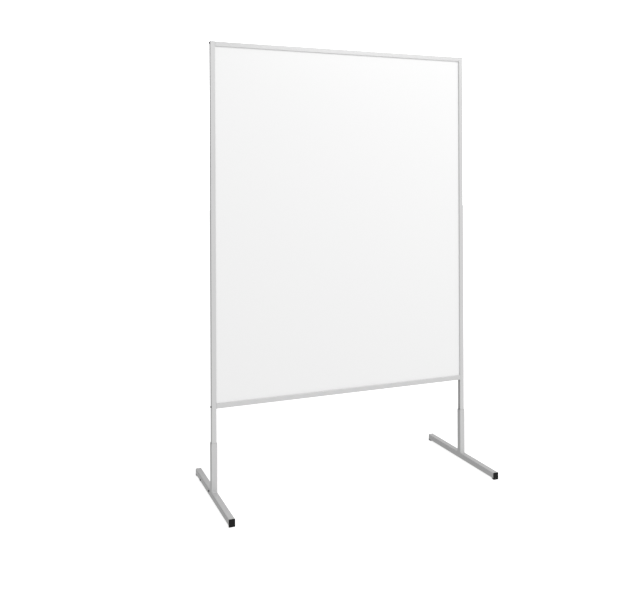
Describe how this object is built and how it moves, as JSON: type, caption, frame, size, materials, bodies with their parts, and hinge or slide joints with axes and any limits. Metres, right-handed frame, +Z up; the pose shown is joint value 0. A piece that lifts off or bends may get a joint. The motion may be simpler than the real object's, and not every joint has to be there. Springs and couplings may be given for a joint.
{
  "type": "free-standing whiteboard",
  "caption": "Tall framed whiteboard panel held between uprights that stand in square sleeves on T-shaped feet with plastic end caps.",
  "frame": {"origin": "on the floor, under the middle of the board", "axes": "+X along the board to the writer's right, +Y from the writing side to the back, +Z up"},
  "size_m": [1.211, 0.55, 1.87],
  "materials": {
    "writing_enamel": "smooth white enamel, semi-gloss, with faint wiped-ink haze",
    "core_board": "particle board",
    "backing_zinc": "matt galvanised sheet with faint spangle",
    "frame_aluminium": "satin silver anodised, extruded along its length",
    "corner_casting": "raw die casting",
    "cap_grey": "fine moulded texture",
    "foot_lacquer": "silver-grey powder coat, light orange peel",
    "foot_cap_black": "moulded, slightly scuffed on the glides",
    "screw_black": "black zinc",
    "nut_zinc": "bright zinc"
  },
  "bodies": {
    "board": {"writing_sheet": "writing_enamel", "panel_core": "core_board", "backing_sheet": "backing_zinc", "top_rail": "frame_aluminium", "bottom_rail": "frame_aluminium", "left_upright": "frame_aluminium", "left_rail_screws": "screw_black", "left_upright_top_cap": "cap_grey", "left_upright_foot_plug": "foot_cap_black", "top_left_corner_block": "corner_casting", "bottom_left_corner_block": "corner_casting", "right_upright": "frame_aluminium", "right_rail_screws": "screw_black", "right_upright_top_cap": "cap_grey", "right_upright_foot_plug": "foot_cap_black", "top_right_corner_block": "corner_casting", "bottom_right_corner_block": "corner_casting"},
    "left_foot": {"left_foot_tube": "foot_lacquer", "left_foot_side_screws": "screw_black", "left_foot_sleeve": "foot_lacquer", "left_foot_welds": "foot_lacquer", "left_foot_front_cap": "foot_cap_black", "left_foot_rear_cap": "foot_cap_black", "left_lock_screw": "screw_black", "left_lock_nut": "nut_zinc"},
    "right_foot": {"right_foot_tube": "foot_lacquer", "right_foot_side_screws": "screw_black", "right_foot_sleeve": "foot_lacquer", "right_foot_welds": "foot_lacquer", "right_foot_front_cap": "foot_cap_black", "right_foot_rear_cap": "foot_cap_black", "right_lock_screw": "screw_black", "right_lock_nut": "nut_zinc"}
  },
  "joints": [
    {"name": "left_foot_slide", "type": "slide", "parent": "board", "child": "left_foot", "axis": [0, 0, -1], "range_m": [0, 0.21]},
    {"name": "right_foot_slide", "type": "slide", "parent": "board", "child": "right_foot", "axis": [0, 0, -1], "range_m": [0, 0.21]}
  ]
}
